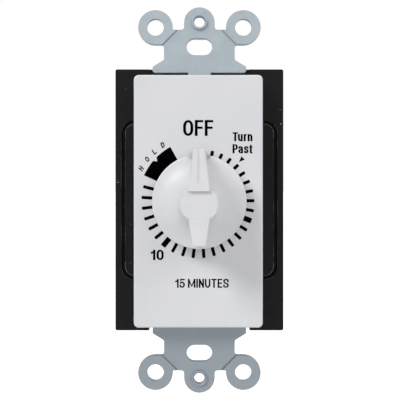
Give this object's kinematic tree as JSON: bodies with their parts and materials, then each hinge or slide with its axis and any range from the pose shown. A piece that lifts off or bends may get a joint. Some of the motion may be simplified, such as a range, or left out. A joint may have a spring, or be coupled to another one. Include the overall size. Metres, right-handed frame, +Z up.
{
  "type": "spring-wound timer light switch",
  "caption": "Spring-wound wall timer for lights: steel mounting yoke, black case, white dial cover, pointer knob, and a clockwork movement with a cam-worked switch inside.",
  "frame": {"origin": "on the knob's axis at the rear face of the mounting yoke, centred between its screw holes", "axes": "+Z up, -Y towards the person who turns the knob, +Y into the wall box, +X right as seen from the front"},
  "size_m": [0.046, 0.062, 0.1048],
  "materials": {
    "galvanised_steel": "dull grey-blue zinc plate",
    "white_plastic": "satin moulded white",
    "black_plastic": "satin moulded black",
    "steel": "turned and stamped steel",
    "zinc_screw": "bright zinc plate",
    "spring_steel": "blued strip",
    "brass": "stamped and turned brass",
    "phosphor_bronze": "rolled bronze",
    "silver_contact": "silver alloy",
    "fibre_card": "vulcanised fibre sheet"
  },
  "bodies": {
    "case": {"arbor_bushing": "brass", "back_plate": "steel", "base_screws": "zinc_screw", "contact_pivot": "brass", "contact_spring": "spring_steel", "dial_cover": "white_plastic", "fixed_blade": "phosphor_bronze", "fixed_contact": "silver_contact", "front_housing": "black_plastic", "front_plate": "steel", "hairspring": "spring_steel", "hairspring_stud": "steel", "housing_screws": "zinc_screw", "insulating_card": "fibre_card", "line_terminal": "brass", "load_terminal": "brass", "mainspring": "spring_steel", "mainspring_post": "steel", "mounting_yoke": "galvanised_steel", "movement_screws": "zinc_screw", "pillar_nuts": "zinc_screw", "plate_pillars": "steel", "rear_housing": "black_plastic", "stop_pin": "steel", "switch_base": "black_plastic", "terminal_screws": "zinc_screw", "yoke_rivets": "zinc_screw"},
    "knob_shaft": {"timer_knob": "white_plastic", "knob_clip": "steel", "main_arbor": "steel", "clutch_spring": "spring_steel", "clutch_collar": "steel", "stop_arm": "steel", "switch_cam": "black_plastic"},
    "first_wheel": {"main_wheel": "brass"},
    "second_arbor": {"second_pinion": "steel", "second_wheel": "brass"},
    "third_arbor": {"third_pinion": "steel", "third_wheel": "brass"},
    "escape_arbor": {"escape_pinion": "steel", "escape_wheel": "brass"},
    "pallets": {"pallet_arbor": "steel", "pallet_lever": "steel", "pallet_pins": "steel"},
    "balance": {"balance_staff": "steel", "balance_wheel": "brass", "impulse_pin": "steel", "hairspring_collet": "brass"},
    "contact_lever": {"contact_arm": "phosphor_bronze", "moving_contact": "silver_contact"}
  },
  "joints": [
    {"name": "knob_turn", "type": "hinge", "parent": "case", "child": "knob_shaft", "pos_m": [0, 0, 0], "axis": [0, 1, 0], "range_deg": [0, 312], "stiffness_Nm_per_rad": 0.004, "deforming": ["mainspring"]},
    {"name": "first_wheel_turn", "type": "hinge", "parent": "case", "child": "first_wheel", "pos_m": [0, 0, 0], "axis": [0, 1, 0], "continuous": true},
    {"name": "second_turn", "type": "hinge", "parent": "case", "child": "second_arbor", "pos_m": [-0.0095, 0, -0.01256], "axis": [0, 1, 0], "continuous": true},
    {"name": "third_turn", "type": "hinge", "parent": "case", "child": "third_arbor", "pos_m": [-0.00399, 0, -0.02231], "axis": [0, 1, 0], "continuous": true},
    {"name": "escape_turn", "type": "hinge", "parent": "case", "child": "escape_arbor", "pos_m": [0.00422, 0, -0.02051], "axis": [0, 1, 0], "continuous": true},
    {"name": "balance_swing", "type": "hinge", "parent": "case", "child": "balance", "pos_m": [0.01322, 0, -0.01482], "axis": [0, 1, 0], "range_deg": [-20, 20], "stiffness_Nm_per_rad": 0.0002, "deforming": ["hairspring"]},
    {"name": "pallet_rock", "type": "hinge", "parent": "case", "child": "pallets", "pos_m": [0.01102, 0, -0.02251], "axis": [0, 1, 0], "range_deg": [-5, 5]},
    {"name": "contact_lift", "type": "hinge", "parent": "case", "child": "contact_lever", "pos_m": [-0.011, 0, 0.017], "axis": [0, -1, 0], "range_deg": [0, 3.5], "stiffness_Nm_per_rad": 0.005, "springref_deg": -5.73, "deforming": ["contact_spring"]}
  ],
  "couplings": [
    {"joint": "third_turn", "follows": "escape_turn", "ratio": -0.16667},
    {"joint": "second_turn", "follows": "escape_turn", "ratio": 0.02381},
    {"joint": "first_wheel_turn", "follows": "escape_turn", "ratio": -0.0039683},
    {"joint": "pallet_rock", "follows": "balance_swing", "ratio": -0.25}
  ]
}
